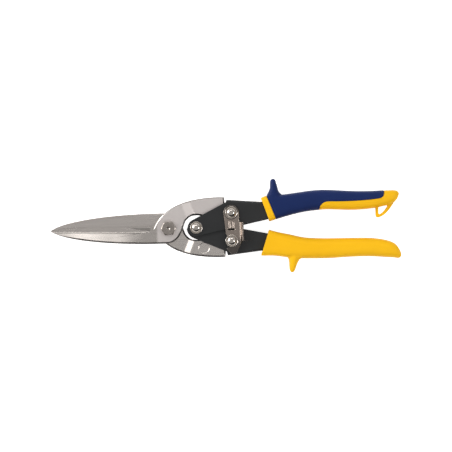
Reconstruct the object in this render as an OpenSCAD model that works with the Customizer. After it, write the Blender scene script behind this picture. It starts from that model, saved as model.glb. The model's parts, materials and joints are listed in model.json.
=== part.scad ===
// Compound-action aviation snips lying on their back, long straight blades to the left.
// X runs along the tool towards the grips, Y across it, and Z from the rear face to the front.
// X = 0 and Y = 0 lie on the main pivot. Z = 0 is the surface that the rear bolt head rests on.

/* [Linkage] */
// Distance from the main pivot to the blade tips
blade_reach = 100.3; // [90:0.1:112]
// Distance from the main pivot to the handle pivot
handle_pivot_x = 23.4; // [23:0.1:24]
// Distance from the main pivot to the tang pins, along the tool
tang_pin_x = 53.2; // [52:0.1:55]
// Distance of each tang pin from the middle of the tool
tang_pin_y = 11.9; // [11.4:0.1:12.4]

/* [Jaws] */
// Thickness of each jaw at the main pivot
jaw_t = 5; // [4.5:0.1:5.5]
// Width of each blade at its root, from the middle of the tool
blade_root_w = 12.9; // [11:0.1:14]
// Height of the cutting edge above the middle of the tool
edge_lap = 2.9; // [1.5:0.1:4]
// Thickness left along the cutting edge
edge_land = 0.9; // [0.5:0.1:1.5]
// Height of the bevel ridge at the tip
ridge_tip_z = 2.6; // [2:0.1:4]
// Distance from the middle of the tool to the tang's outer edge
tang_outer_y = 25.4; // [23:0.1:27]
// Radius of the lug round each tang pin
lug_r = 7; // [5.5:0.1:7.2]
// Radius of the hollow that clears the handle noses
hollow_r = 10.6; // [10:0.1:11.5]
// Depth of the plain round stamp on the lower tang
stamp_depth = 0.3; // [0.1:0.1:0.6]

/* [Handles] */
// Thickness of the handle sheet
sheet_t = 1.8; // [1.4:0.1:2]
// Radius of the upper handle's nose
upper_nose_r = 7.2; // [6.5:0.1:8]
// Radius of the lower handle's nose
lower_nose_r = 9.7; // [9:0.1:10.5]
// Distance from the middle of the tool to the front of the upper handle's back
upper_web_y = 23; // [22.5:0.1:23.5]
// Slope of the upper handle's back, in degrees
upper_web_slope = 4.7; // [4:0.1:6]
// Distance from the middle of the tool to the front of the lower handle's back
lower_web_y = 24.2; // [23.5:0.1:25]
// Slope of the lower handle's back, in degrees
lower_web_slope = 6.6; // [5:0.1:8]
// Outer radius of the bend along each handle's back
bend_r = 2.4; // [2:0.1:3]

/* [Grips] */
// Distance from the main pivot to the front of the grips
grip_front = 77.5; // [76:0.5:80]
// Length of the grips
grip_len = 120; // [105:1:140]
// Thickness of the grips
grip_t = 18.4; // [18.4:0.1:22]
// Height of the finger guards above the middle of the tool
guard_y = 39.5; // [36:0.5:44]
// Thickness of the upper grip's soft cover
soft_t = 1.3; // [1:0.1:1.4]
// Thickness of the hanging loop's bar
loop_bar = 2.3; // [1.9:0.1:2.6]
// Width of the hanging loop
loop_w = 5; // [5:0.1:8]

/* [Fasteners] */
// Radius of the pivot bolt
bolt_r = 3.5; // [3:0.1:4]
// Size of the pivot hexagons across their flats
hex_af = 11.4; // [10:0.1:13]
// Height of the pivot bolt's head
bolt_head_h = 4.2; // [4.2:0.1:5.5]
// Height of the pivot nut
pivot_nut_h = 4.6; // [3.5:0.1:6]
// Radius of the handle screws
screw_r = 2.5; // [2.2:0.1:2.8]
// Radius of the rim under the screw heads
head_r = 5.2; // [4.6:0.1:5.4]
// Height of the screw heads
head_h = 2.7; // [2.2:0.1:3.2]
// Size of the handle nuts across their flats
nut_af = 8; // [7:0.1:9]
// Height of the handle nuts
nut_h = 2.4; // [2:0.1:2.5]

/* [Latch] */
// Thickness of the latch plate
latch_t = 1.6; // [1.2:0.1:1.8]
// Radius of the latch round its pivot
latch_r = 6.6; // [6:0.1:7]
// Radius of the catch that the latch hooks
catch_r = 3; // [2.9:0.1:3.1]
// Length of the thumb tab's flank
tab_len = 2.4; // [1.5:0.1:4]

/* [Return spring] */
// Diameter of the spring wire
wire_d = 1.3; // [1:0.1:1.5]
// Radius of the coil at the middle of the wire
coil_r = 5; // [4.7:0.1:5.2]
// Distance between the turns
coil_pitch = 1.9; // [1.9:0.05:2]

/* [Clearances] */
// Gap between sliding faces
slide_gap = 0.1; // [0.05:0.01:0.15]
// Radial gap of the running pins
pin_gap = 0.08; // [0.04:0.01:0.1]
// Radial gap round the handle pivot in the lower handle
free_gap = 0.4; // [0.35:0.05:0.5]
// Gap between the handles and their grips
grip_fit = 0.1; // [0.05:0.01:0.2]

/* [Hidden] */
$fn = 64;
steel = "#b9b2ac";
bright = "#d8d6d2";
black = "#2a2b2d";
yellow = "#f6c81e";
blue = "#1f4a86";
reach = 400;

// Levels above the shearing plane, which lies between the two jaws
shear_z = jaw_t + bolt_head_h;
tang_half = jaw_t / 2;
inner_z = tang_half + slide_gap;
middle_z = inner_z + sheet_t + slide_gap;
outer_z = middle_z + slide_gap;
cheek_top = outer_z + sheet_t;
latch_z = cheek_top + slide_gap;
latch_top = latch_z + latch_t;
washer_t = 0.5;

// Places of the pivots
main_pivot = [0, 0];
handle_pivot = [handle_pivot_x, 0];
upper_pin = [tang_pin_x, tang_pin_y];
lower_pin = [tang_pin_x, -tang_pin_y];

// The joggle that carries each tang from its blade's side to the middle
joggle_turn = 22;
joggle_start = 18.4;
joggle_end = 24.9;

// Curves as lists of points
function bezier(p, n = 14) = [
    for (i = [0 : n])
        let (t = i / n, u = 1 - t)
            u * u * u * p[0] + 3 * u * u * t * p[1] + 3 * u * t * t * p[2] + t * t * t * p[3]
];
function arc(c, r, from, to, n = 12) = [
    for (i = [0 : n])
        let (a = from + (to - from) * i / n)
            c + r * [cos(a), sin(a)]
];
function blend(p, i, t) =
    let (
        a = p[max(i - 1, 0)],
        b = p[i],
        c = p[i + 1],
        d = p[min(i + 2, len(p) - 1)]
    )
    b + 0.5 * t * ((c - a) + t * ((2 * a - 5 * b + 4 * c - d) + t * (3 * (b - c) + d - a)));
function smooth(p, n) = concat(
    [for (i = [0 : len(p) - 2], j = [0 : n - 1]) blend(p, i, j / n)],
    [p[len(p) - 1]]
);
function tail(p) = [for (i = [1 : len(p) - 1]) p[i]];
// Angle at which a straight line from a point touches a circle
function touch_angle(c, r, p, side) =
    let (d = p - c)
    atan2(d[1], d[0]) + side * acos(r / norm(d));

// A point on a round-cornered oval between two points, with a half thickness along Z
function signed_power(v, e) = sign(v) * pow(abs(v), e);
function oval_point(a, b, half, e, turn) =
    let (
        across = signed_power(cos(turn), 2 / e),
        up = half * signed_power(sin(turn), 2 / e),
        flat = (a + b) / 2 + (a - b) / 2 * across
    )
    [flat[0], flat[1], up];
function oval(a, b, half, e, n) = [
    for (i = [0 : n - 1]) oval_point(a, b, half, e, 360 * (i + 0.5) / n)
];

// A closed skin of triangles over a list of rings
module skin(rings) {
    n = len(rings[0]);
    last = len(rings) - 1;
    points = [for (r = rings, p = r) p];
    ends = [
        for (i = [1 : n - 2], face = [[0, i, i + 1], [last * n, last * n + i + 1, last * n + i]]) face
    ];
    sides = [
        for (k = [0 : last - 1], i = [0 : n - 1])
            let (a = k * n + i, b = k * n + (i + 1) % n)
            for (face = [[a, b + n, b], [a, a + n, b + n]]) face
    ];
    polyhedron(points, concat(ends, sides), convexity = 8);
}

// A closed sheet of triangles between an outer and an inner grid of points
module shell(outer, inner) {
    m = len(outer[0]);
    last = len(outer) - 1;
    n = m * (last + 1);
    points = concat([for (r = outer, p = r) p], [for (r = inner, p = r) p]);
    sides = [
        for (k = [0 : last - 1], i = [0 : m - 2])
            let (a = k * m + i, b = a + 1, c = b + m, d = a + m)
            for (face = [[a, c, b], [a, d, c], [a + n, b + n, c + n], [a + n, c + n, d + n]]) face
    ];
    ends = [
        for (i = [0 : m - 2])
            let (f = i, r = last * m + i)
            for (face = [[f, f + 1, n + f], [f + 1, n + f + 1, n + f],
                         [r, n + r + 1, r + 1], [r, n + r, n + r + 1]]) face
    ];
    borders = [
        for (k = [0 : last - 1])
            let (a = k * m, b = a + m, c = a + m - 1, d = b + m - 1)
            for (face = [[a, n + b, b], [a, n + a, n + b], [d, n + c, c], [d, n + d, n + c]]) face
    ];
    polyhedron(points, concat(sides, ends, borders), convexity = 8);
}

// Everything is drawn about the shearing plane and lifted to where it lies
module lifted() {
    translate([0, 0, shear_z]) children();
}

module at(p, z) {
    translate([p[0], p[1], z]) children();
}

module ring(outer, inner, h) {
    difference() {
        cylinder(r = outer, h = h);
        translate([0, 0, -1]) cylinder(r = inner, h = h + 2);
    }
}

// One side of a plane through a point, with the solid side along the turned Z axis
module half_space(p, turn) {
    translate(p) rotate(turn) translate([-reach / 2, -reach / 2, 0]) cube(reach);
}

// JAWS

blade_tip = [-blade_reach, -0.3];
edge_root = [-14, edge_lap - 1.4];
shoulder = [-12.5, 0.2];
heel_end = [-2, -blade_root_w];
tang_end_x = 47.6;
tang_step = [tang_end_x + 0.3, 19.6];
lug_turn = 125;

function jaw_outline() =
    let (
        edge = bezier([blade_tip, [-blade_reach * 0.909, edge_lap + 1.7],
                       [-blade_reach / 2, edge_lap], edge_root]),
        back = bezier([shoulder, [-3.5, tang_outer_y - 5], [20, tang_outer_y + 0.6],
                       [tang_end_x, tang_outer_y]]),
        lug = arc(upper_pin, lug_r, lug_turn, -95, 20),
        hollow = arc(handle_pivot, hollow_r, 75, 165, 16),
        heel_start = hollow[len(hollow) - 1],
        heel = bezier([heel_start, [11, -3], [8.4, 0.3 - blade_root_w], heel_end]),
        spine = bezier([heel_end, [-blade_reach * 0.53, -blade_root_w - 0.6],
                        [-blade_reach * 0.9, -blade_root_w * 0.59], blade_tip])
    )
    concat(edge, back, [tang_step], lug, hollow, tail(heel),
           [for (i = [1 : len(spine) - 2]) spine[i]]);

module joggled_slab() {
    low = slide_gap / 4;
    profile = [
        [-reach, low], [joggle_start, low], [joggle_end, -tang_half], [reach, -tang_half],
        [reach, tang_half], [joggle_end, tang_half], [joggle_start, jaw_t], [-reach, jaw_t]
    ];
    rotate([0, 0, joggle_turn]) rotate([90, 0, 0])
        linear_extrude(reach, center = true) polygon(profile);
}

// The two ground faces of a blade, which meet along a ridge and run out before the pivot
ridge_root = [-27, -3.2, jaw_t];
ridge_tip = [-96, -1.3, ridge_tip_z];

module blade_grind() {
    run = ridge_root - ridge_tip;
    yaw = atan2(run[1], run[0]);
    pitch = -atan2(run[2], norm([run[0], run[1]]));
    edge_slope = atan2(jaw_t - edge_land, edge_lap - 0.5 - ridge_root[1]);
    back_slope = 9;
    edge_runout = 10;
    back_runout = 7;
    intersection() {
        half_space(ridge_root, [-edge_slope, pitch, yaw]);
        half_space([-15, 0, jaw_t], [0, -edge_runout, -12]);
    }
    intersection() {
        half_space(ridge_root, [back_slope, pitch, yaw]);
        half_space([-24, 0, jaw_t], [0, -back_runout, 14]);
    }
}

module jaw(bore_r) {
    difference() {
        intersection() {
            translate([0, 0, -reach / 2]) linear_extrude(reach) polygon(jaw_outline());
            joggled_slab();
        }
        blade_grind();
        at(main_pivot, -reach / 2) cylinder(r = bore_r, h = reach);
        at(upper_pin, -reach / 2) cylinder(r = screw_r + pin_gap, h = reach);
    }
}

module lower_blade() {
    color(steel) lifted() jaw(bolt_r);
}

// The same jaw turned over, with a plain round stamp in its tang
module upper_blade() {
    stamp_r = 4.2;
    stamp_at = [29.6, -17.3];
    color(steel) lifted() difference() {
        rotate([180, 0, 0]) jaw(bolt_r + pin_gap);
        at(stamp_at, tang_half - stamp_depth) cylinder(r = stamp_r, h = jaw_t);
    }
}

// MAIN PIVOT

module hexagon(af, h) {
    chamfer = 0.16 * h;
    corner_r = af / sqrt(3);
    intersection() {
        linear_extrude(h) circle(r = corner_r, $fn = 6);
        rotate_extrude() polygon([
            [0, 0], [corner_r, 0], [corner_r, h - chamfer], [af / 2 * 0.96, h], [0, h]
        ]);
    }
}

thread_r = bolt_r - 0.4;
bolt_end = 0.8;

module pivot_bolt() {
    shank_top = jaw_t;
    dimple = [0.6, 1.9, 1];
    color(bright) lifted() {
        at(main_pivot, -jaw_t) rotate([180, 0, 0]) hexagon(hex_af, bolt_head_h);
        at(main_pivot, -jaw_t) cylinder(r = bolt_r, h = shank_top + jaw_t);
        difference() {
            at(main_pivot, shank_top) cylinder(r = thread_r, h = pivot_nut_h + bolt_end);
            at(main_pivot, shank_top + pivot_nut_h + bolt_end - dimple[2] + 0.4)
                cylinder(r1 = dimple[0], r2 = dimple[1], h = dimple[2]);
        }
    }
}

module pivot_nut() {
    color(bright) lifted() at(main_pivot, jaw_t) rotate([0, 0, 2]) difference() {
        hexagon(hex_af, pivot_nut_h);
        translate([0, 0, -1]) cylinder(r = thread_r, h = pivot_nut_h + 2);
    }
}

// HANDLES

// Points of each handle: the tongue inside the grip takes shares of the grip's length
function grip_x(share) = grip_front + share * grip_len;
web_front_x = 49.6;
fan_top = [48.7, 20.8];
bend_len = 30;
tongue_start = 84;
slot_front_x = 65.6;
upper_slot_y = 1.7;
lower_slot_y = 2.5;
inner_slope = 0.2076;
nose_meet = 180;
tongue_end = grip_x(0.84);
function web_end(web_y, slope) = [tongue_start, web_y - (tongue_start - web_front_x) * tan(slope)];
upper_tongue = [
    web_end(upper_web_y, upper_web_slope), [grip_x(0.37), 24.6], [tongue_end, 23.2],
    [tongue_end, 17.4], [grip_x(0.37), 18.4], [grip_x(0.16), 12]
];
lower_tongue = [
    web_end(lower_web_y, lower_web_slope), [grip_x(0.37), 24], [tongue_end, 23.6],
    [tongue_end, 16.4], [grip_x(0.37), 15.2], [grip_x(0.22), 11.8]
];

function slot_point(x, slot_y) = [x, slot_y + (x - slot_front_x) * inner_slope];
function cheek_outline(nose, nose_r, web_y, slot_y, tongue) =
    let (
        top = touch_angle(nose, nose_r, fan_top, 1),
        inner_nose = arc(handle_pivot, upper_nose_r, top + 180, nose_meet + 10, 14),
        outer_nose = arc(nose, nose_r, nose_meet - 8, top, 12)
    )
    concat(inner_nose, outer_nose, [fan_top, [web_front_x, web_y]], tongue,
           [slot_point(tongue_start, slot_y), slot_point(nose[0] + 8, slot_y)]);

// A bent channel with its two cheeks at given levels and its back along the outer edge
module channel(nose, nose_r, web_y, web_slope, slot_y, tongue, front_z, rear_z) {
    web_inside = [for (p = concat([[web_front_x, web_y]], [for (i = [0 : 2]) tongue[i]])) p - [0, sheet_t]];
    past_end = tongue_end + 1;
    difference() {
        translate([0, 0, rear_z - sheet_t])
            linear_extrude(front_z - rear_z + 2 * sheet_t)
                polygon(cheek_outline(nose, nose_r, web_y, slot_y, tongue));
        translate([0, 0, rear_z]) linear_extrude(front_z - rear_z)
            polygon(concat(
                [[-reach, reach], [web_front_x, reach]], web_inside,
                [[past_end, web_inside[3][1]], [past_end, -reach], [-reach, -reach]]
            ));
        for (side = [1, -1])
            translate([web_front_x, web_y, side > 0 ? front_z + sheet_t : rear_z - sheet_t])
                rotate([0, 0, -web_slope]) bend(side);
    }
}

// The waste outside a bent corner that runs along X
module bend(side) {
    mirror([0, 0, side > 0 ? 0 : 1]) translate([-1, -bend_r, -bend_r]) difference() {
        cube([bend_len, bend_r + 2, bend_r + 2]);
        rotate([0, 90, 0]) translate([0, 0, -1]) cylinder(r = bend_r, h = bend_len + 2);
    }
}

module pin_holes(handle_gap, pin_at) {
    at(handle_pivot, -reach / 2) cylinder(r = screw_r + handle_gap, h = reach);
    at(pin_at, -reach / 2) cylinder(r = screw_r, h = reach);
}

module upper_handle() {
    color(black) lifted() difference() {
        channel(handle_pivot, upper_nose_r, upper_web_y, upper_web_slope, upper_slot_y, upper_tongue,
                outer_z, -inner_z);
        pin_holes(0, upper_pin);
    }
}

nose_step = 0.9;
lower_nose = handle_pivot + [lower_nose_r - upper_nose_r - nose_step, 0];

module lower_handle() {
    color(black) lifted() difference() {
        mirror([0, 1, 0])
            channel(lower_nose, lower_nose_r, lower_web_y, lower_web_slope, lower_slot_y, lower_tongue,
                    inner_z, -outer_z);
        pin_holes(free_gap, lower_pin);
    }
}

// SCREWS AND NUTS

// A low domed head in a dished rim, with a six-lobed socket
module screw_head() {
    dome_r = head_r * 0.8;
    rim_h = 0.8;
    dish_h = 0.3;
    rise = head_h - dish_h;
    crown_r = (dome_r * dome_r + rise * rise) / (2 * rise);
    half = asin(dome_r / crown_r);
    dome = arc([0, head_h - crown_r], crown_r, 90, 90 - half, 10);
    rim_in = [[dome_r + 0.1, dish_h], [head_r - 0.35, rim_h]];
    rim_out = [[head_r - 0.1, rim_h - 0.1], [head_r, rim_h - 0.3], [head_r, 0]];
    socket_r = 1.5;
    socket_depth = 1.5;
    lobe_r = 0.45;
    difference() {
        rotate_extrude() polygon(concat([[0, 0]], dome, rim_in, rim_out));
        translate([0, 0, head_h - socket_depth]) {
            cylinder(r = socket_r, h = head_h);
            for (i = [0 : 5])
                rotate([0, 0, 60 * i]) translate([socket_r, 0, 0]) cylinder(r = lobe_r, h = head_h);
        }
    }
}

module screw(head_z, end_z) {
    translate([0, 0, head_z]) screw_head();
    translate([0, 0, end_z]) cylinder(r = screw_r, h = head_z - end_z);
}

module nut(top_z) {
    translate([0, 0, top_z]) rotate([180, 0, 0]) difference() {
        hexagon(nut_af, nut_h);
        translate([0, 0, -1]) cylinder(r = screw_r, h = nut_h + 2);
    }
}

rear_outer = -(outer_z + sheet_t);
rear_inner = -(inner_z + sheet_t);

module handle_screw() {
    color(bright) lifted() at(handle_pivot, 0) screw(cheek_top, rear_outer - nut_h - slide_gap);
}

module handle_nut() {
    color(bright) lifted() at(handle_pivot, 0) nut(rear_outer - slide_gap);
}

module spring_sleeve() {
    color(steel) lifted() at(handle_pivot, slide_gap - inner_z)
        ring(screw_r + 1.1, screw_r, 2 * (inner_z - slide_gap));
}

module upper_tang_screw() {
    color(bright) lifted() at(upper_pin, 0) screw(latch_top + washer_t + slide_gap, rear_inner - nut_h);
}

module upper_tang_nut() {
    color(bright) lifted() at(upper_pin, 0) nut(rear_inner);
}

module upper_tang_spacer() {
    color(steel) lifted() at(upper_pin, inner_z) ring(lug_r - 1.5, screw_r, outer_z - inner_z);
}

module lower_tang_screw() {
    color(bright) lifted() at(lower_pin, 0) screw(latch_top + 2 * slide_gap, rear_outer - nut_h);
}

module lower_tang_nut() {
    color(bright) lifted() at(lower_pin, 0) nut(rear_outer);
}

module lower_tang_spacer() {
    color(steel) lifted() at(lower_pin, -outer_z) ring(lug_r - 1.5, screw_r, outer_z - inner_z);
}

// The collar under the lower screw's head, which the latch hooks
module latch_catch() {
    foot = inner_z + sheet_t;
    color(bright) lifted() at(lower_pin, foot) ring(catch_r, screw_r, latch_top + 2 * slide_gap - foot);
}

// LATCH

// The hook's upper edge follows the catch as the latch and the handles swing apart
swing_share = 1.3;
hook_gap = 0.35;
function spin(p, a) = [p[0] * cos(a) - p[1] * sin(a), p[0] * sin(a) + p[1] * cos(a)];
function catch_path(open) =
    let (
        in_handle = handle_pivot + spin(lower_pin - handle_pivot, -open),
        in_latch = upper_pin + spin(in_handle - upper_pin, -open * swing_share)
    )
    in_latch;
function hook_edge(open) =
    let (
        step = catch_path(open + 0.1) - catch_path(open),
        normal = [-step[1], step[0]] / norm(step)
    )
    catch_path(open) + normal * (catch_r + hook_gap);

latch_left_turn = 186;
seat_turn = 100;
notch_left = 48.4;
notch_y = lower_pin[1] + catch_r + hook_gap;
hook_left = [48.9, -18.6];
chin = [[52.6, -22.6], [53.3, -23], [56.2, -23], [57, -22.5]];
cheek_x = 61.7;
tab_x = 59.7;
tab_top = 3.9;
tab_bottom = -12.2;

function latch_outline() =
    let (
        head = arc(upper_pin, latch_r, 0, latch_left_turn, 20),
        first = hook_edge(0) - lower_pin,
        seat = arc(lower_pin, catch_r + hook_gap, seat_turn, atan2(first[1], first[0]), 12),
        mouth = [for (open = [1.5 : 1.5 : 10.5]) hook_edge(open)]
    )
    concat(
        head, [[notch_left, notch_y + 2.4], [notch_left + 1.2, notch_y + 0.4]],
        seat, [for (p = mouth) if (p[0] > hook_left[0] + 0.3) p],
        [hook_left, hook_left + [0.6, -0.8]], chin,
        [[cheek_x, tab_bottom - 0.4], [cheek_x, tab_bottom], [tab_x, tab_bottom], [tab_x, tab_top]]
    );

module latch() {
    bend_in = 1.4;
    bars = [[51.9, 1.7], [54.9, 1.4]];
    bar_r = 1.05;
    bar_len = 6;
    bar_rise = 0.6;
    slot = [5.6, 1.2];
    slot_at = [50.3, -2.6];
    color(bright) lifted() difference() {
        union() {
            translate([0, 0, latch_z]) linear_extrude(latch_t) polygon(latch_outline());
            for (b = bars)
                at(b, latch_top + bar_rise - bar_r) rotate([90, 0, 0])
                    cylinder(r = bar_r, h = bar_len, center = true);
            translate([tab_x - tab_foot, tab_top, latch_z]) rotate([90, 0, 0])
                linear_extrude(tab_top - tab_bottom) polygon(tab_profile(bend_in));
        }
        at(upper_pin, -reach / 2) cylinder(r = screw_r + pin_gap, h = reach);
        at(slot_at, latch_z - 1) cube([slot[0], slot[1], latch_t + 2]);
    }
}

// The thumb tab seen along Y: a bend and a sloping flank
tab_foot = 0.1;
tab_turn = 55;
function tab_profile(bend_in) =
    let (
        bend_out = bend_in + latch_t,
        middle = [tab_foot, bend_out],
        flank = tab_len * [cos(tab_turn), sin(tab_turn)],
        under = arc(middle, bend_out, -90, tab_turn - 90, 8),
        over = arc(middle, bend_in, tab_turn - 90, -90, 8)
    )
    concat([[0, 0]], under, [under[8] + flank, over[0] + flank], over, [[0, latch_t]]);

module latch_washer() {
    color(bright) lifted() at(upper_pin, latch_top + slide_gap) ring(latch_r - 0.8, screw_r, washer_t);
}

// RETURN SPRING

turns = 1;
leg_len = 15;
leg_turn = 7.5;
wire_sides = 8;
coil_from = 90 + leg_turn;
coil_to = 270 - leg_turn + 360 * turns;
coil_steps = 40;

function coil_point(i) =
    let (a = coil_from + (coil_to - coil_from) * i / coil_steps)
    [coil_r * cos(a), coil_r * sin(a), coil_pitch * ((a - coil_from) - (coil_to - coil_from) / 2) / 360];
spring_path = concat(
    [coil_point(0) + leg_len * [cos(leg_turn), sin(leg_turn), 0]],
    [for (i = [0 : coil_steps]) coil_point(i)],
    [coil_point(coil_steps) + leg_len * [cos(leg_turn), -sin(leg_turn), 0]]
);

function wire_ring(p, along) =
    let (side = cross([0, 0, 1], along) / norm(cross([0, 0, 1], along)), up = cross(along, side))
    [
        for (k = [0 : wire_sides - 1])
            p + wire_d / 2 * (cos(360 * k / wire_sides) * side + sin(360 * k / wire_sides) * up)
    ];
function heading(p, i) =
    let (d = p[min(i + 1, len(p) - 1)] - p[max(i - 1, 0)])
    d / norm(d);
least_gap = min([
    for (i = [0 : coil_steps], j = [i + 12 : 1 : coil_steps])
        norm(coil_point(i) - coil_point(j)) - wire_d
]);
echo(least_gap_between_spring_turns = least_gap);

module return_spring() {
    last = len(spring_path) - 1;
    color(steel) lifted() at(handle_pivot, 0)
        skin([for (i = [0 : last]) wire_ring(spring_path[i], heading(spring_path, i))]);
}

// GRIPS

// Rows along a grip: outer share and height, inner share and height, thickness share, squareness
upper_rows = [
    [0.009, 23.9, 0.067, 3.6, 0.95, 4.5],
    [0.046, 25.8, 0.112, 5.3, 0.97, 4.3],
    [0.168, 26.3, 0.196, 8.1, 0.99, 3.4],
    [0.288, 28.1, 0.296, 10.8, 0.99, 3],
    [0.388, 29.3, 0.383, 12.1, 1, 2.8],
    [0.5, 29.1, 0.488, 12.6, 1, 2.8],
    [0.642, 27.9, 0.638, 11.5, 1, 2.8],
    [0.779, 27.4, 0.763, 12.1, 1, 2.8],
    [0.879, 27.8, 0.862, 13.9, 0.97, 2.8],
    [0.95, 27.8, 0.922, 15.5, 0.9, 2.7],
    [0.977, 27, 0.952, 17.4, 0.76, 2.5],
    [0.988, 24.7, 0.975, 20.7, 0.5, 2.3]
];
lower_rows = [
    [0.002, 25.2, 0.063, 3.2, 0.95, 4.5],
    [0.1, 25.4, 0.126, 5.4, 0.95, 3.8],
    [0.188, 27, 0.21, 7.6, 0.98, 3.3],
    [0.304, 28.2, 0.296, 10.1, 0.99, 3],
    [0.388, 28.5, 0.379, 11.2, 1, 2.8],
    [0.492, 28.6, 0.492, 11.7, 1, 2.8],
    [0.633, 27.9, 0.633, 11.8, 1, 2.8],
    [0.771, 27.9, 0.771, 12.2, 1, 2.8],
    [0.879, 28.8, 0.859, 13.5, 0.97, 2.8],
    [0.938, 29.3, 0.915, 15.4, 0.92, 2.7],
    [0.969, 29.8, 0.952, 17.8, 0.84, 2.6],
    [0.982, 29.5, 0.977, 21.9, 0.7, 2.5],
    [0.991, 28.2, 0.99, 25.4, 0.42, 2.3]
];
ring_sides = 24;
row_steps = 3;

function row_at(rows, u) = u >= len(rows) - 1 ? rows[len(rows) - 1] : blend(rows, floor(u), u - floor(u));
function grip_point(r, inset, turn) =
    let (a = [grip_x(r[0]), r[1]], b = [grip_x(r[2]), r[3]], in = inset * (a - b) / norm(a - b))
    oval_point(a - in, b + in, r[4] * grip_t / 2 - inset, r[5] + 0.4 * inset, turn);
function grip_rings(rows) = [
    for (r = smooth(rows, row_steps))
        oval([grip_x(r[0]), r[1]], [grip_x(r[2]), r[3]], r[4] * grip_t / 2, r[5], ring_sides)
];

// Rows of a finger guard: height, front and rear offsets from its middle, half thickness
upper_guard_rows = [
    [25, -5.6, 6.9, 7.2],
    [26.6, -5.5, 6.8, 7.4],
    [28.2, -4.5, 5.1, 7],
    [30, -3.4, 4, 6.6],
    [32.3, -2.4, 3.3, 6.2],
    [36, -2.2, 2.2, 5.6],
    [38.2, -1.9, 1.6, 4.8],
    [39.2, -1, 0.9, 3.6]
];
lower_guard_rows = [
    [18, -5, 9, 7],
    [24.5, -4.6, 10.5, 7.4],
    [27, -3.6, 9.6, 7.3],
    [28.8, -2.7, 6.8, 7],
    [31, -2.1, 5, 6.4],
    [34.5, -1.8, 3.3, 5.8],
    [37.6, -1.6, 2.1, 5.2],
    [39.2, -0.9, 1, 3.8]
];
guard_nominal = 39.5;
guard_foot = 26;

function guard_rings(rows, middle) = [
    for (r = smooth(rows, 2))
        let (
            grow = (guard_y - guard_foot) / (guard_nominal - guard_foot),
            y = r[0] < guard_foot ? r[0] : guard_foot + (r[0] - guard_foot) * grow
        )
        oval([middle + r[1], y], [middle + r[2], y], r[3], 2.6, 16)
];

// The room for a handle's tongue in its grip
module tongue_room(tongue, web_slope, slot_y, front_z, rear_z) {
    ahead = 15;
    before = tongue_start - ahead;
    front = [
        slot_point(tongue_start, slot_y), slot_point(before, slot_y),
        [before, tongue[0][1] + ahead * tan(web_slope)]
    ];
    translate([0, 0, rear_z - sheet_t - grip_fit])
        linear_extrude(front_z - rear_z + 2 * (sheet_t + grip_fit))
            offset(delta = grip_fit) polygon(concat(tongue, front));
}

upper_guard_x = 89.4;
lower_guard_x = 103.7;

// The cover wraps the core from the collar to the end cap. Below its border an inlaid strip shows.
cover_start = 1;
cover_end = 8.02;
strip_start = [4.35, 4.36, 4.375, 4.395, 4.42];
seam_half = 0.5;
ridge_half = 0.4;
border_gap = 1;
step_run = 0.03;
strip_height = [
    [grip_x(0.425), 12.6], [grip_x(0.4326), 18.2], [grip_x(0.45), 19.4], [grip_x(0.6), 19.1],
    [grip_x(0.746), 19.2], [grip_x(0.843), 20.6], [grip_x(0.86), 21.2], [grip_x(0.8725), 22.8],
    [grip_x(0.878), 24.6]
];
cover_rows = concat(
    [cover_start + 0.04, 1.5, 2, 2.5, 3, 3.5, 4], strip_start,
    [4.7, 5, 5.5, 6, 6.5, 7, 7.4, 7.7, 7.85, 7.93, cover_end - 0.03]
);

// Turns from the back of the grip to a seam of a given half width, and to the strip's upper edge
function seam_turn(r, half) = 180 - asin(pow(half / (r[4] * grip_t / 2), r[5] / 2));
function strip_turn(r) =
    let (
        middle = (r[1] + r[3]) / 2,
        x = grip_x(0.7 * r[0] + 0.3 * r[2]),
        share = (lookup(x, strip_height) - middle) / ((r[1] - r[3]) / 2)
    )
    acos(signed_power(share, r[5] / 2));

// The cover's border, and the edge of the core's strip beside it: in front of the strip both close to a seam
function is_seam(u) = u <= strip_start[0];
function border_turn(u) =
    let (r = row_at(upper_rows, min(u, cover_end)))
    is_seam(u) ? seam_turn(r, seam_half) : strip_turn(r) - border_gap;
function strip_edge(u) =
    let (r = row_at(upper_rows, min(u, cover_end)))
    is_seam(u) ? seam_turn(r, ridge_half) : strip_turn(r);

arc_steps = 16;
strip_steps = 8;

function cover_grid(inset) = [
    for (u = cover_rows)
        [
            for (i = [0 : arc_steps])
                grip_point(row_at(upper_rows, u), inset, border_turn(u) * (2 * i / arc_steps - 1))
        ]
];

// A ring of the core: sunk by a given depth under the cover and its seam, and flush along the strip
function core_ring(u, depth) =
    let (r = row_at(upper_rows, u), edge = strip_edge(u), strip_depth = is_seam(u) ? depth : 0)
    concat(
        [for (i = [0 : arc_steps]) grip_point(r, depth, border_turn(u) * (2 * i / arc_steps - 1))],
        [for (i = [0 : strip_steps]) grip_point(r, strip_depth, edge + (360 - 2 * edge) * i / strip_steps)]
    );
core_rings = concat(
    [for (u = [0, 0.5, cover_start]) core_ring(u, 0)],
    [for (u = concat([cover_start + step_run], tail(cover_rows))) core_ring(u, soft_t)],
    [core_ring(cover_end, soft_t)],
    [for (u = [cover_end + step_run, 8.5, 9, 9.5, 10, 10.5, 11]) core_ring(u, 0)]
);

loop_left = 175.6;
loop_bottom = 4.8;
loop_join = [191, 16.8];
loop_half = 2.4;

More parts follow.
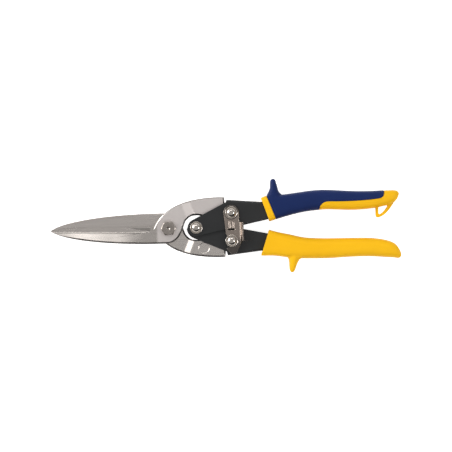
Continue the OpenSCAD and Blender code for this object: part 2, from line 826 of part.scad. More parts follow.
module hang_loop() {
    inner_left = loop_left + loop_bar;
    inner_bottom = loop_bottom + 1.2 * loop_bar;
    inner_join = loop_join - [1.65 * loop_bar, 0];
    corner_r = 1.6;
    outer = concat(
        [[loop_left, loop_join[1]]],
        arc([loop_left + corner_r, loop_bottom + corner_r], corner_r, 180, 270, 4),
        bezier([[loop_left + 1.9, loop_bottom], [loop_left + loop_w + 1.4, loop_bottom + 0.4],
                loop_join - [4.2, 6.8], loop_join], 8),
        [loop_join + [-1, 3]]
    );
    inner_corner = [[inner_left, inner_bottom + 0.6], [inner_left + 0.4, inner_bottom + 0.1]];
    inner = concat(
        [[inner_left, inner_join[1]]], inner_corner,
        bezier([[inner_left + 1, inner_bottom], [inner_left + loop_w / 2 + 1, inner_bottom + 0.6],
                inner_join - [2.6, 4.6], inner_join], 6)
    );
    translate([0, 0, -loop_half]) linear_extrude(2 * loop_half) difference() {
        polygon(outer);
        polygon(inner);
    }
}

module upper_grip_core() {
    color(yellow) lifted() difference() {
        union() {
            skin(core_rings);
            hang_loop();
        }
        tongue_room(upper_tongue, upper_web_slope, upper_slot_y, outer_z, -inner_z);
    }
}

module upper_grip_cover() {
    color(blue) lifted() {
        shell(cover_grid(0), cover_grid(soft_t - slide_gap));
        skin(guard_rings(upper_guard_rows, upper_guard_x));
    }
}

module lower_grip() {
    color(yellow) lifted() mirror([0, 1, 0]) difference() {
        union() {
            skin(grip_rings(lower_rows));
            skin(guard_rings(lower_guard_rows, lower_guard_x));
        }
        tongue_room(lower_tongue, lower_web_slope, lower_slot_y, inner_z, -outer_z);
    }
}

lower_blade();
upper_blade();
pivot_bolt();
pivot_nut();
upper_handle();
lower_handle();
handle_screw();
handle_nut();
spring_sleeve();
return_spring();
upper_tang_screw();
upper_tang_nut();
upper_tang_spacer();
lower_tang_screw();
lower_tang_nut();
lower_tang_spacer();
latch_catch();
latch();
latch_washer();
upper_grip_core();
upper_grip_cover();
lower_grip();
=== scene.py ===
import json
import math

import bmesh
import bpy
from mathutils import Matrix, Vector

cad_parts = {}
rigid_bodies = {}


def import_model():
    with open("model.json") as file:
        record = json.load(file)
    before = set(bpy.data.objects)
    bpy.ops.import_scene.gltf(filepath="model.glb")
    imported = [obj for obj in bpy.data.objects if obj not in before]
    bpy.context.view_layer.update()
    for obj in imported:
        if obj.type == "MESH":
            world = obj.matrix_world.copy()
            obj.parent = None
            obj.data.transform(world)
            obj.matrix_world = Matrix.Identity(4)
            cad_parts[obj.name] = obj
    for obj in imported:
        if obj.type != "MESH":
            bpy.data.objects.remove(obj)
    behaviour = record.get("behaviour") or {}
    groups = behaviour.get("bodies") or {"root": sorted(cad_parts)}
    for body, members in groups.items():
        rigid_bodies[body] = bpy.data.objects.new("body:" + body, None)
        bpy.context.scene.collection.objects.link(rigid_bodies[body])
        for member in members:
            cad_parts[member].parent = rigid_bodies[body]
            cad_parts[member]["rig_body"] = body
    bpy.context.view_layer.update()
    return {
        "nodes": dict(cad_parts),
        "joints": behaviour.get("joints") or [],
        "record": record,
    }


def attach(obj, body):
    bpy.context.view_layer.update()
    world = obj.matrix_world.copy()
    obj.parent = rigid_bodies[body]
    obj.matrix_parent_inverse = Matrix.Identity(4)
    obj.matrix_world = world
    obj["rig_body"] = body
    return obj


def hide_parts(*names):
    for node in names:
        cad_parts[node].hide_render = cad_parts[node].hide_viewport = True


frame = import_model()
nodes = frame["nodes"]
scene = bpy.context.scene
MM = 0.001

# Places that the frame gives: the joints' pins, and the middle of the tool's thickness
PINS = [Vector(joint["pos_m"]) for joint in frame["joints"]]
MID_HEIGHT = PINS[0].z

# Camera: straight down on the tool, turned slightly so that the blades run level with the frame
PHOTO_CENTRE = Vector((48.6 * MM, 0.8 * MM, MID_HEIGHT))
PHOTO_FIELD = 383.3 * MM
PHOTO_TURN = math.radians(-1.43)
CAMERA_HEIGHT = 1.8
SENSOR = 36.0

# Floor and light levels
FLOOR_DROP = 0.1 * MM
FLOOR_RADIUS = 6.0
FLOOR_GREY = 0.8
FLOOR_LIFT = 0.85
ROOM_DARK = 0.06
ROOM_LIGHT = 0.5
ROOM_BRIGHT_SIDE = Vector((-0.35, 1.0, 0.15)).normalized()
ROOM_TURN = (-0.8, 0.35)

# Noise: its roughness, and the middle of its reach
NOISE_ROUGH = 0.55
NOISE_REACH = (0.3, 0.7)


class Tree:
    """Adds nodes to a node tree: a value is set on its socket, and a socket is linked to it."""

    def __init__(self, tree):
        self.nodes = tree.nodes
        self.links = tree.links

    def add(self, kind, inputs=(), **settings):
        node = self.nodes.new("ShaderNode" + kind)
        for name, value in settings.items():
            setattr(node, name, value)
        for key, value in dict(inputs).items():
            self.feed(node.inputs[key], value)
        return node

    def feed(self, socket, value):
        if isinstance(value, bpy.types.NodeSocket):
            self.links.new(value, socket)
        else:
            socket.default_value = value

    def place(self):
        return self.add("TexCoord").outputs["Object"]

    def stretched(self, scale):
        return self.add("Mapping", {"Vector": self.place(), "Scale": scale}).outputs[0]

    def noise(self, vector, scale, detail):
        wanted = {"Vector": vector, "Scale": scale, "Detail": detail, "Roughness": NOISE_ROUGH}
        return self.add("TexNoise", wanted).outputs["Fac"]

    def swing(self, noise, low, high):
        """The middle of a noise's reach, spread between two values."""
        return self.span(noise, *NOISE_REACH, low, high)

    def span(self, value, low, high, to_low, to_high, smooth=False):
        kind = "SMOOTHSTEP" if smooth else "LINEAR"
        wanted = {"Value": value, "From Min": low, "From Max": high, "To Min": to_low, "To Max": to_high}
        return self.add("MapRange", wanted, interpolation_type=kind).outputs["Result"]

    def mix(self, share, first, second):
        node = self.add("Mix", data_type="RGBA")
        self.feed(node.inputs["Factor"], share)
        self.feed(node.inputs[6], first)
        self.feed(node.inputs[7], second)
        return node.outputs[2]

    def sums(self, operation, *values):
        node = self.add("Math", operation=operation)
        for socket, value in zip(node.inputs, values):
            self.feed(socket, value)
        return node.outputs[0]

    def blend(self, share, first, second):
        return self.add("Mix", {"Factor": share, 2: first, 3: second}).outputs[0]

    def bump(self, height, distance, strength):
        wanted = {"Height": height, "Distance": distance, "Strength": strength}
        return self.add("Bump", wanted).outputs[0]


def material(name):
    """A new material with its node tree and its shader."""
    made = bpy.data.materials.new(name)
    made.use_nodes = True
    return made, Tree(made.node_tree), made.node_tree.nodes["Principled BSDF"]


def colour(red, green, blue):
    return (red, green, blue, 1.0)


# Jaw finish: where the ground blade ends, how its faces lean, and the painted sheen and shade of the ground
# face along the blade
BLADE_END = (-11 * MM, -8.5 * MM)
INNER_FACING = (0.1, 0.4)
OUTER_FACING = (-0.5, -0.8)
CHAMFER_FACING = (0.91, 0.89)
GROUND_LEAN = (0.06, 0.12)
CUTTING_LEAN = (0.3, 0.4)
# Painted shade at the root and the tip, and a painted highlight in the middle: tone factors along the blade
ROOT_PAINTED_SHADE = (-46 * MM, -27 * MM, 1.05, 0.62)
MIDDLE_PAINTED_HIGHLIGHT = (-70 * MM, -50 * MM, 1.3, 1.0)
TIP_PAINTED_SHADE = (-94 * MM, -76 * MM, 0.66, 1.0)
STREAK_SCALE = (40, 1500, 1500)
GROUND_ROUGH = (0.19, 0.27)
BLAST_DARK = (0.68, 0.625, 0.60)
BLAST_LIGHT = (0.76, 0.705, 0.68)
BLAST_ROUGH = (0.40, 0.48)
BLAST_GRAIN = 1800
BLAST_MOTTLE = 90
JAW_RELIEF = 0.004 * MM


def painted_ground_sheen(tree, along, normal, inner_side):
    """Painted sheen and shade on the outer ground face: painted brightest at the middle of the blade, painted
    darker towards the tip and where it runs out at the root.
    """
    lean = tree.sums("ABSOLUTE", normal.outputs["Y"])
    outer = [limit * inner_side for limit in OUTER_FACING]
    share = tree.span(lean, *GROUND_LEAN, 0.0, 1.0)
    share = tree.sums("MULTIPLY", share, tree.span(lean, *CUTTING_LEAN, 1.0, 0.0))
    share = tree.sums("MULTIPLY", share, tree.span(normal.outputs["Z"], *outer, 0.0, 1.0))
    # Painted light along the blade: darker at the root and the tip, brighter in the middle
    painted_light = tree.span(along, *ROOT_PAINTED_SHADE, smooth=True)
    for stretch in (MIDDLE_PAINTED_HIGHLIGHT, TIP_PAINTED_SHADE):
        painted_light = tree.sums("MULTIPLY", painted_light, tree.span(along, *stretch, smooth=True))
    return tree.blend(share, 1.0, painted_light)


def jaw_steel(name, inner_side, dark, light):
    """Forged jaw: a blasted boss and tang, a blade ground lengthwise, a ground inner side, and painted sheen
    and shade along the outer ground face.
    """
    made, tree, shader = material(name)
    along = tree.add("SeparateXYZ", {"Vector": tree.place()}).outputs["X"]
    normal = tree.add("SeparateXYZ", {"Vector": tree.add("TexCoord").outputs["Normal"]})
    facing = normal.outputs["Z"]
    blade = tree.span(along, *BLADE_END, 1.0, 0.0, smooth=True)
    inner = tree.span(facing, *[limit * inner_side for limit in INNER_FACING], 0.0, 1.0)
    chamfer = tree.span(tree.sums("ABSOLUTE", facing), *CHAMFER_FACING, 0.0, 1.0)
    ground = tree.sums("MAXIMUM", tree.sums("MAXIMUM", blade, inner), chamfer)
    streaks = tree.noise(tree.stretched(STREAK_SCALE), 1.0, 3.0)
    grain = tree.noise(tree.place(), BLAST_GRAIN, 2.0)
    mottle = tree.noise(tree.place(), BLAST_MOTTLE, 4.0)
    painted_sheen = painted_ground_sheen(tree, along, normal, inner_side)
    ground_tone = tree.mix(streaks, colour(*dark), colour(*light))
    # The outer ground face's tone is scaled by the painted sheen and shade
    ground_tone = tree.add("VectorMath", {0: ground_tone, "Scale": painted_sheen}, operation="SCALE").outputs[0]
    blast_tone = tree.mix(mottle, colour(*BLAST_DARK), colour(*BLAST_LIGHT))
    tree.feed(shader.inputs["Base Color"], tree.mix(ground, blast_tone, ground_tone))
    ground_rough = tree.swing(streaks, *GROUND_ROUGH)
    blast_rough = tree.swing(grain, *BLAST_ROUGH)
    tree.feed(shader.inputs["Roughness"], tree.blend(ground, blast_rough, ground_rough))
    height = tree.blend(ground, grain, streaks)
    tree.feed(shader.inputs["Normal"], tree.bump(height, JAW_RELIEF, 0.4))
    shader.inputs["Metallic"].default_value = 1.0
    return made


# Coating, plating, latch and grips: colours, roughness, and the size and depth of their marks
COAT_DARK = (0.011, 0.0115, 0.012)
COAT_LIGHT = (0.017, 0.0175, 0.018)
COAT_ROUGH = (0.38, 0.5)
COAT_PEEL = 900
COAT_CLOUD = 60
PEEL_DEPTH = 0.01 * MM
PLATE_CLOUD = 260
DRAWN_SCALE = (2200, 2200, 300)
DRAWN_DEPTH = 0.003 * MM
LATCH_ENDS = (8 * MM, 17 * MM)
LATCH_DARK = (0.34, 0.285, 0.245)
LATCH_LIGHT = (0.42, 0.355, 0.31)
LATCH_END_TONE = (0.13, 0.115, 0.105)
LATCH_ROUGH = (0.16, 0.26)
GRIP_CLOUD = 45
GRIP_GRAIN = 0.02 * MM


def black_coat():
    """Semi-gloss black coating with a fine peel."""
    made, tree, shader = material("black_coat")
    peel = tree.noise(tree.place(), COAT_PEEL, 2.0)
    cloud = tree.noise(tree.place(), COAT_CLOUD, 3.0)
    tone = tree.mix(cloud, colour(*COAT_DARK), colour(*COAT_LIGHT))
    tree.feed(shader.inputs["Base Color"], tone)
    tree.feed(shader.inputs["Roughness"], tree.swing(cloud, *COAT_ROUGH))
    tree.feed(shader.inputs["Normal"], tree.bump(peel, PEEL_DEPTH, 0.4))
    shader.inputs["Specular IOR Level"].default_value = 0.35
    return made


def plated(name, dark, light, rough):
    """Plated steel with faint clouding and fine drawing marks."""
    made, tree, shader = material(name)
    cloud = tree.noise(tree.place(), PLATE_CLOUD, 4.0)
    marks = tree.noise(tree.stretched(DRAWN_SCALE), 1.0, 3.0)
    tree.feed(shader.inputs["Base Color"], tree.mix(cloud, colour(*dark), colour(*light)))
    tree.feed(shader.inputs["Roughness"], tree.swing(cloud, *rough))
    tree.feed(shader.inputs["Normal"], tree.bump(marks, DRAWN_DEPTH, 0.3))
    shader.inputs["Metallic"].default_value = 1.0
    return made


def latch_plate():
    """Bright sheet steel, darker towards the two ends of the latch."""
    made, tree, shader = material("latch_steel")
    across = tree.add("SeparateXYZ", {"Vector": tree.place()}).outputs["Y"]
    end = tree.span(tree.sums("ABSOLUTE", across), *LATCH_ENDS, 0.0, 1.0, smooth=True)
    cloud = tree.noise(tree.place(), PLATE_CLOUD, 4.0)
    bright = tree.mix(cloud, colour(*LATCH_DARK), colour(*LATCH_LIGHT))
    tree.feed(shader.inputs["Base Color"], tree.mix(end, bright, colour(*LATCH_END_TONE)))
    tree.feed(shader.inputs["Roughness"], tree.swing(cloud, *LATCH_ROUGH))
    shader.inputs["Metallic"].default_value = 1.0
    return made


def moulded(name, dark, light, rough, grain_scale):
    """Moulded grip material with a fine spark-eroded grain."""
    made, tree, shader = material(name)
    cloud = tree.noise(tree.place(), GRIP_CLOUD, 3.0)
    grain = tree.noise(tree.place(), grain_scale, 2.0)
    tree.feed(shader.inputs["Base Color"], tree.mix(cloud, colour(*dark), colour(*light)))
    tree.feed(shader.inputs["Roughness"], tree.swing(grain, *rough))
    tree.feed(shader.inputs["Normal"], tree.bump(grain, GRIP_GRAIN, 0.5))
    shader.inputs["Specular IOR Level"].default_value = 0.14
    return made


MATERIALS = {
    "black_handle": black_coat(),
    "nickel": plated("nickel", (0.55, 0.50, 0.45), (0.68, 0.63, 0.58), (0.09, 0.16)),
    "latch_steel": latch_plate(),
    "spring_steel": plated("spring_steel", (0.28, 0.27, 0.26), (0.40, 0.39, 0.375), (0.24, 0.36)),
    "yellow_grip": moulded("yellow_grip", (0.87, 0.45, 0.006), (0.95, 0.53, 0.008), (0.42, 0.54), 1800),
    "blue_grip": moulded("blue_grip", (0.006, 0.017, 0.082), (0.008, 0.022, 0.105), (0.5, 0.62), 1500),
}
PIVOT_STEEL = plated("pivot_steel", (0.36, 0.315, 0.285), (0.50, 0.45, 0.41), (0.16, 0.26))
LATCH_RING_STEEL = plated("latch_ring_steel", (0.15, 0.13, 0.115), (0.25, 0.22, 0.195), (0.18, 0.28))
JAW_MATERIALS = {
    "lower_blade": jaw_steel("front_jaw_steel", -1, (0.545, 0.50, 0.465), (0.635, 0.59, 0.55)),
    "upper_blade": jaw_steel("rear_jaw_steel", 1, (0.62, 0.57, 0.53), (0.72, 0.67, 0.63)),
}
OWN_MATERIALS = {
    "pivot_bolt": PIVOT_STEEL,
    "pivot_nut": PIVOT_STEEL,
    "latch_washer": LATCH_RING_STEEL,
    "latch_catch": LATCH_RING_STEEL,
}


def finish(piece, made):
    """Gives a piece one material."""
    piece.data.materials.clear()
    piece.data.materials.append(made)


SAME_PLACE = 0.001 * MM
EDGE_ANGLE = 25


def broken_edges(piece, width):
    """Small rounds along the edges of a CAD solid."""
    weld = piece.modifiers.new("weld", "WELD")
    weld.merge_threshold = SAME_PLACE
    bevel = piece.modifiers.new("bevel", "BEVEL")
    bevel.width = width
    bevel.segments = 2
    bevel.limit_method = "ANGLE"
    bevel.angle_limit = math.radians(EDGE_ANGLE)
    bevel.harden_normals = True
    normals = piece.modifiers.new("normals", "WEIGHTED_NORMAL")
    normals.keep_sharp = True


def copied(node, suffix):
    """A new object with a copy of a CAD node's mesh, and that mesh open for editing."""
    piece = bpy.data.objects.new(node + suffix, nodes[node].data.copy())
    scene.collection.objects.link(piece)
    mesh = bmesh.new()
    mesh.from_mesh(piece.data)
    bmesh.ops.remove_doubles(mesh, verts=mesh.verts, dist=SAME_PLACE)
    return piece, mesh


def stands_for(piece, node, made, slot):
    """Finishes a modelled piece and puts it in its CAD node's place."""
    finish(piece, made)
    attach(piece, nodes[node]["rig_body"])
    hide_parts(node)


# Eased copies: angles in degrees, widths in millimetres, and the upward share of a face's direction
FLAT_ANGLE = 0.4
SHARP_ANGLE = 12
UPRIGHT = 0.05
LYING = 0.3
WIDEST_ROUND = 2.0
EDGE_PROFILE = 0.35
FOLD_ROOM = 1.7
RIM_START = 0.01
CHAMFER_ROUND = 0.08


def is_wall_seam(edge):
    """An edge between two upright facets of one curved wall."""
    faces = edge.link_faces
    if len(faces) != 2 or any(abs(face.normal.z) > UPRIGHT for face in faces):
        return False
    return edge.calc_face_angle(0.0) < math.radians(SHARP_ANGLE)


def is_fold(edge):
    """An edge between two lying faces, as where a jaw steps from one level to another."""
    faces = edge.link_faces
    if len(faces) != 2 or any(abs(face.normal.z) < LYING for face in faces):
        return False
    return edge.calc_face_angle(0.0) > math.radians(SHARP_ANGLE)


def clear_folds(mesh):
    """Takes out the wall's facet seams close beside the ends of folds, where a wide round needs the room."""
    ends = [vert for edge in mesh.edges if is_fold(edge) for vert in edge.verts]
    crowded = []
    for edge in mesh.edges:
        if not is_wall_seam(edge) or any(vert in ends for vert in edge.verts):
            continue
        place = edge.verts[0].co.xy
        if min((place - end.co.xy).length for end in ends) < FOLD_ROOM * MM:
            crowded.append(edge)
    bmesh.ops.dissolve_edges(mesh, edges=crowded, use_verts=True)


def walls_at(vert):
    """The outward directions of the upright walls at a corner."""
    return [face.normal.xy.normalized() for face in vert.link_faces if abs(face.normal.z) < UPRIGHT]


def chamfer_pairs(rim):
    """The outer and the inner end of each side edge of a rim's faces."""
    counts = {}
    for face in rim:
        for edge in face.edges:
            counts[edge] = counts.get(edge, 0) + 1
    for edge, count in counts.items():
        if count == 2:
            ends = sorted(edge.verts, key=lambda vert: len(walls_at(vert)))
            if walls_at(ends[1]):
                yield ends[1], ends[0]


def inward(outer, inner, rim):
    """How a chamfer's inner end moves for each unit of its width: along a fold, or square to the outline."""
    walls = walls_at(outer)
    square = -sum(walls, Vector((0, 0)))
    square /= len(walls) / 2 * (1 + walls[0].dot(walls[-1]))
    for edge in inner.link_edges:
        if is_fold(edge) and not any(face in rim for face in edge.link_faces):
            along = edge.other_vert(inner).co - inner.co
            return along / abs(along.xy.dot(square) / square.length)
    plane = next(face.normal for face in inner.link_faces if face not in rim)
    return Vector((square.x, square.y, -square.dot(plane.xy) / plane.z))


def chamfered(mesh, cut):
    """Cuts a chamfer along the outline of both lying sides: cut gives its width and depth at a place."""
    made = set()
    for side in (1, -1):
        lying = [face for face in mesh.faces if face.normal.z * side > LYING]
        inset = bmesh.ops.inset_region(mesh, faces=lying, thickness=RIM_START * MM, use_even_offset=True)
        rim = inset["faces"]
        moves = []
        for outer, inner in chamfer_pairs(rim):
            width, depth = cut(outer.co / MM, side, walls_at(outer)[0])
            moves.append((inner, inner.co + (width - RIM_START) * MM * inward(outer, inner, rim)))
            moves.append((outer, outer.co - Vector((0, 0, side * depth * MM))))
        for vert, place in moves:
            vert.co = place
        made.update(rim)
    mesh.normal_update()
    return made


def eased(node, suffix, edge_width, cut=None):
    """A copy of a CAD solid with its edges rounded, each by its own width in millimetres."""
    piece, mesh = copied(node, suffix)
    bmesh.ops.dissolve_limit(
        mesh,
        angle_limit=math.radians(FLAT_ANGLE),
        use_dissolve_boundaries=False,
        verts=mesh.verts,
        edges=mesh.edges,
    )
    clear_folds(mesh)
    rim = chamfered(mesh, cut) if cut else set()
    weight = mesh.edges.layers.float.new("bevel_weight_edge")
    for edge in mesh.edges:
        on_rim = sum(face in rim for face in edge.link_faces)
        if on_rim == 0:
            width = edge_width(edge)
        else:
            width = CHAMFER_ROUND if on_rim == 1 else 0.0
        edge[weight] = width / WIDEST_ROUND
        edge.smooth = width > 0 or edge.calc_face_angle(0.0) < math.radians(SHARP_ANGLE)
    for face in mesh.faces:
        face.smooth = True
    mesh.to_mesh(piece.data)
    mesh.free()
    bevel = piece.modifiers.new("bevel", "BEVEL")
    bevel.width = WIDEST_ROUND * MM
    bevel.segments = 3
    bevel.profile = EDGE_PROFILE
    bevel.limit_method = "WEIGHT"
    bevel.use_clamp_overlap = False
    bevel.harden_normals = False
    normals = piece.modifiers.new("normals", "WEIGHTED_NORMAL")
    normals.keep_sharp = True
    return piece


# Jaw edges in millimetres: a chamfer is its width and depth
STAMP = Vector((29.6, -17.3))
BORES = [pin.xy / MM for pin in PINS]
BORE_REACH = 5.0
BLADE_ROOT = -13.5
CUTTING_SIDE = -1.0
TIP_FADE = 22.0
TIP_LEAST = 0.15
JAW_TIP = -100.3
FORGED_CHAMFER = (1.4, 1.0)
SPINE_CHAMFER = (1.4, 0.95)
FINE_CHAMFER = (0.2, 0.12)
NO_CHAMFER = (RIM_START, 0.0)
STAMP_CHAMFER = (0.6, 0.26)
SHOULDER_SIDE = Vector((-0.8, 0.6))
SHOULDER_CUT = 0.5
JOGGLE_EDGE = 1.2
RIDGE_EDGE = 0.7
LEAST_TURN = 5
RIDGE_TURN = 18
RIDGE_LINE = 0.99
RIDGE_END = -27.0
ROOT_EDGE = 0.3
RUNOUT_LEAST = 6.0
RUNOUT_EDGE = 1.8


def tip_fade(place):
    """How edges narrow towards a blade's tip."""
    return min(1.0, max(TIP_LEAST, (place.x - JAW_TIP) / TIP_FADE))


def jaw_chamfer(outer_side):
    """A jaw's chamfers: wide on the forging and spine, fine inside, none at bores and the cutting edge."""
    def cut(place, side, out):
        if (place.xy - STAMP).length < BORE_REACH:
            return STAMP_CHAMFER
        if min((place.xy - bore).length for bore in BORES) < BORE_REACH:
            return NO_CHAMFER
        if place.x > BLADE_ROOT:
            share = 1.0 - SHOULDER_CUT * max(0.0, out.dot(SHOULDER_SIDE))
            return [size * share for size in FORGED_CHAMFER]
        if place.y * outer_side > CUTTING_SIDE:
            return NO_CHAMFER
        return [size * tip_fade(place) for size in (SPINE_CHAMFER if side == outer_side else FINE_CHAMFER)]
    return cut


def jaw_edge(edge):
    """Edge widths of a jaw besides its chamfers: round folds, soft run-outs and a fine ridge."""
    turn = math.degrees(edge.calc_face_angle(0.0))
    middle = (edge.verts[0].co + edge.verts[1].co) / (2 * MM)
    if len(edge.link_faces) != 2 or turn < LEAST_TURN:
        return 0.0
    if any(abs(face.normal.z) < LYING for face in edge.link_faces):
        return 0.0
    if middle.x > 0:
        return JOGGLE_EDGE
    if turn < RIDGE_TURN:
        return RUNOUT_EDGE if edge.calc_length() > RUNOUT_LEAST * MM else ROOT_EDGE
    along = (edge.verts[1].co - edge.verts[0].co).normalized()
    width = RIDGE_EDGE if middle.x < RIDGE_END else ROOT_EDGE
    return width * tip_fade(middle) if abs(along.x) > RIDGE_LINE else 0.0


# Latch edges: the least turn of an edge, how front and walls face, and the two widths
LATCH_TURN = 40
LATCH_FRONT = 0.9
LATCH_WALL = 0.2
STAMPED_EDGE = 0.45
PLAIN_EDGE = 0.15


def latch_edge(edge):
    """Edge widths of the latch: a stamped round on the front, and fine edges elsewhere."""
    if math.degrees(edge.calc_face_angle(0.0)) < LATCH_TURN:
        return 0.0
    wall, face = sorted((face.normal for face in edge.link_faces), key=lambda normal: abs(normal.z))
    return STAMPED_EDGE if face.z > LATCH_FRONT and abs(wall.z) < LATCH_WALL else PLAIN_EDGE


def close_seam(mesh):
    """Welds the two borders of the soft cover along the underside of its grip."""
    reach = 0.8 * MM
    lowest = 15 * MM
    rearmost = 128.2 * MM
    weld_reach = 0.02 * MM
    for vert in mesh.verts:
        if abs(vert.co.z - MID_HEIGHT) < reach and vert.co.y < lowest and vert.co.x < rearmost:
            vert.co.z = MID_HEIGHT
    bmesh.ops.remove_doubles(mesh, verts=mesh.verts, dist=weld_reach)
    inside = [f for f in mesh.faces if all(abs(v.co.z - MID_HEIGHT) < SAME_PLACE for v in f.verts)]
    bmesh.ops.delete(mesh, geom=inside, context="FACES_ONLY")


# Grips: how a faceted solid is smoothed, and the finger guards
GRIP_VOXEL = 0.35 * MM
GRIP_PASSES = 3
GRIP_CREASE = 50
QUAD_BEND = 35
QUAD_SKEW = 60
GUARD_WAIST = 28 * MM
GUARD_TIP = 33 * MM
TIP_SWELL = 0.45 * MM


def fuller_tip(mesh):
    """Fills out the blunt end of a finger guard."""
    outward = [vert.normal.copy() for vert in mesh.vertices]
    for vert, normal in zip(mesh.vertices, outward):
        share = min(1.0, max(0.0, (abs(vert.co.y) - GUARD_WAIST) / (GUARD_TIP - GUARD_WAIST)))
        vert.co += TIP_SWELL * share * normal


def softened(node, swell, mend):
    """A smooth copy of a faceted grip: its quads subdivided, remeshed and relaxed."""
    piece, mesh = copied(node, "_moulded")
    if mend:
        mend(mesh)
    bmesh.ops.join_triangles(
        mesh,
        faces=mesh.faces,
        angle_face_threshold=math.radians(QUAD_BEND),
        angle_shape_threshold=math.radians(QUAD_SKEW),
    )
    crease = mesh.edges.layers.float.new("crease_edge")
    for edge in mesh.edges:
        sharp = len(edge.link_faces) == 2 and edge.calc_face_angle(0.0) > math.radians(GRIP_CREASE)
        if sharp or min(abs(vert.co.y) for vert in edge.verts) > GUARD_TIP:
            edge[crease] = 1.0
    mesh.to_mesh(piece.data)
    mesh.free()
    fine = piece.modifiers.new("fine", "SUBSURF")
    fine.levels = 2
    fine.render_levels = 2
    remesh = piece.modifiers.new("remesh", "REMESH")
    remesh.mode = "VOXEL"
    remesh.voxel_size = GRIP_VOXEL
    remesh.use_smooth_shade = True
    relax = piece.modifiers.new("relax", "SMOOTH")
    relax.factor = 0.5
    relax.iterations = GRIP_PASSES
    push = piece.modifiers.new("push", "DISPLACE")
    push.strength = swell
    push.mid_level = 0.0
    graph = bpy.context.evaluated_depsgraph_get()
    made = bpy.data.meshes.new_from_object(piece.evaluated_get(graph))
    fuller_tip(made)
    piece.modifiers.clear()
    piece.data = made
    return piece


# Return spring: about one and a half wound turns with two straight legs
SPRING_MIDDLE = Vector((23.4 * MM, 0, MID_HEIGHT))
COIL_RADIUS = 5 * MM
COIL_PITCH = 1.9 * MM
WIRE_RADIUS = 0.65 * MM
LEG_LENGTH = 15 * MM
LEG_TURN = 7.5
COIL_FROM = 90 + LEG_TURN
COIL_TO = 630 - LEG_TURN
COIL_STEPS = 120


def coil_point(step):
    """A place on the middle line of the coil's wire."""
    turned = (COIL_TO - COIL_FROM) * step / COIL_STEPS
    angle = math.radians(COIL_FROM + turned)
    climb = COIL_PITCH * (turned - (COIL_TO - COIL_FROM) / 2) / 360
    return SPRING_MIDDLE + Vector((COIL_RADIUS * math.cos(angle), COIL_RADIUS * math.sin(angle), climb))


def wound_spring():
    """The spring as one wire: a leg, the coil and the other leg."""
    leg = LEG_LENGTH * Vector((math.cos(math.radians(LEG_TURN)), math.sin(math.radians(LEG_TURN)), 0))
    turn = [coil_point(step) for step in range(COIL_STEPS + 1)]
    path = [turn[0] + leg] + turn + [turn[-1] + Vector((leg.x, -leg.y, 0))]
    wire = bpy.data.curves.new("return_spring_wire", "CURVE")
    wire.dimensions = "3D"
    wire.bevel_depth = WIRE_RADIUS
    wire.bevel_resolution = 4
    wire.use_fill_caps = True
    spline = wire.splines.new("POLY")
    spline.points.add(len(path) - 1)
    for point, place in zip(spline.points, path):
        point.co = (*place, 1)
    piece = bpy.data.objects.new("return_spring_wire", wire)
    scene.collection.objects.link(piece)
    return piece


# CAD nodes that stay, each with its own finish or its slot's
EDGE_ROUND = {"black_handle": 0.3, "nickel": 0.15, "spring_steel": 0.12}
MOULDED = {"upper_grip_core": None, "upper_grip_cover": close_seam, "lower_grip": None}
GRIP_SWELL = {"upper_grip_core": -0.02, "upper_grip_cover": 0.08, "lower_grip": 0.08}
MODELLED = (*JAW_MATERIALS, *MOULDED, "latch", "return_spring")
slots = {entry["node"]: entry["material_slot"] for entry in frame["record"]["subparts"]}
for node, slot in slots.items():
    if node not in MODELLED:
        finish(nodes[node], OWN_MATERIALS.get(node, MATERIALS[slot]))
        broken_edges(nodes[node], EDGE_ROUND[slot] * MM)

# Modelled pieces
JAW_SIDES = {"lower_blade": 1, "upper_blade": -1}
for node, outer_side in JAW_SIDES.items():
    forged = eased(node, "_forged", jaw_edge, jaw_chamfer(outer_side))
    stands_for(forged, node, JAW_MATERIALS[node], slots[node])
stands_for(eased("latch", "_stamped", latch_edge), "latch", MATERIALS["latch_steel"], slots["latch"])
stands_for(wound_spring(), "return_spring", MATERIALS["spring_steel"], "spring_steel")
for node, mend in MOULDED.items():
    grip = softened(node, GRIP_SWELL[node] * MM, mend)
    stands_for(grip, node, MATERIALS[slots[node]], slots[node])


# Floor
def floor_finish():
    """White card. What the camera and bright metal see of it is lifted to white, and shadows stay."""
    made, tree, shader = material("floor")
    shader.inputs["Base Color"].default_value = colour(FLOOR_GREY, FLOOR_GREY, FLOOR_GREY)
    shader.inputs["Roughness"].default_value = 0.9
    shader.inputs["Emission Color"].default_value = colour(1, 1, 1)
    path = tree.add("LightPath")
    seen = tree.sums("MAXIMUM", path.outputs["Is Camera Ray"], path.outputs["Is Glossy Ray"])
    seen = tree.sums("MAXIMUM", seen, path.outputs["Is Transmission Ray"])
    tree.feed(shader.inputs["Emission Strength"], tree.sums("MULTIPLY", seen, FLOOR_LIFT))
    return made


floor_mesh = bpy.data.meshes.new("floor")
disc = bmesh.new()
bmesh.ops.create_circle(disc, cap_ends=True, radius=FLOOR_RADIUS, segments=64)
disc.to_mesh(floor_mesh)
disc.free()
floor = bpy.data.objects.new("floor", floor_mesh)
floor.location = (PHOTO_CENTRE.x, 0, -FLOOR_DROP)
scene.collection.objects.link(floor)
finish(floor, floor_finish())


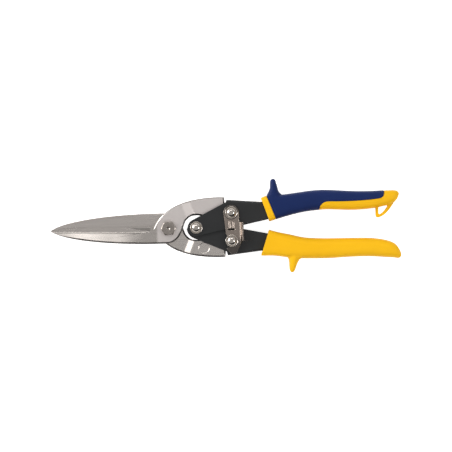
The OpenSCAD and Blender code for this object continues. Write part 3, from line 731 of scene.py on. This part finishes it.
# World: a studio that is darker in front of the tool and to its right
world = bpy.data.worlds.new("studio")
scene.world = world
world.use_nodes = True
room = Tree(world.node_tree)
backdrop = world.node_tree.nodes["Background"]
backdrop.inputs["Color"].default_value = colour(1, 1, 1)
direction = room.add("TexCoord").outputs["Generated"]
sides = {0: direction, 1: ROOM_BRIGHT_SIDE}
brightwards = room.add("VectorMath", sides, operation="DOT_PRODUCT").outputs["Value"]
room.feed(backdrop.inputs["Strength"], room.span(brightwards, *ROOM_TURN, ROOM_DARK, ROOM_LIGHT, smooth=True))


def softbox(name, lean, heading, distance, size, level):
    """A rectangular soft light aimed at the tool: its lean from upright, its heading and its brightness."""
    lean = math.radians(lean)
    heading = math.radians(heading)
    towards = Vector((math.sin(lean) * math.cos(heading), math.sin(lean) * math.sin(heading), math.cos(lean)))
    lamp = bpy.data.lights.new(name, "AREA")
    lamp.shape = "RECTANGLE"
    lamp.size, lamp.size_y = size
    lamp.energy = level * math.pi * size[0] * size[1]
    made = bpy.data.objects.new(name, lamp)
    made.location = PHOTO_CENTRE + distance * towards
    made.rotation_euler = towards.to_track_quat("Z", "Y").to_euler()
    scene.collection.objects.link(made)
    return made


softbox("left_box", 66, 158, 1.6, (1.2, 0.8), 6.0)
softbox("left_panel", 42, 158, 1.6, (0.5, 0.3), 1.6)
softbox("right_box", 50, -10, 1.6, (0.5, 0.5), 8.0)
softbox("back_strip", 50, 95, 1.6, (1.2, 0.25), 3.0)
softbox("overhead_strip", 18, -90, 1.7, (1.4, 0.35), 1.15)
softbox("top_box", 24, 25, 1.7, (0.6, 0.25), 2.1)
softbox("front_fill", 55, -90, 1.6, (1.6, 0.8), 1.8).visible_glossy = False

# Camera
lens = bpy.data.cameras.new("photo")
lens.sensor_width = SENSOR
lens.lens = SENSOR * CAMERA_HEIGHT / PHOTO_FIELD
camera = bpy.data.objects.new("photo", lens)
above = Matrix.Translation(PHOTO_CENTRE + Vector((0, 0, CAMERA_HEIGHT)))
camera.matrix_world = above @ Matrix.Rotation(PHOTO_TURN, 4, "Z")
scene.collection.objects.link(camera)
scene.camera = camera
scene.view_settings.view_transform = "Standard"
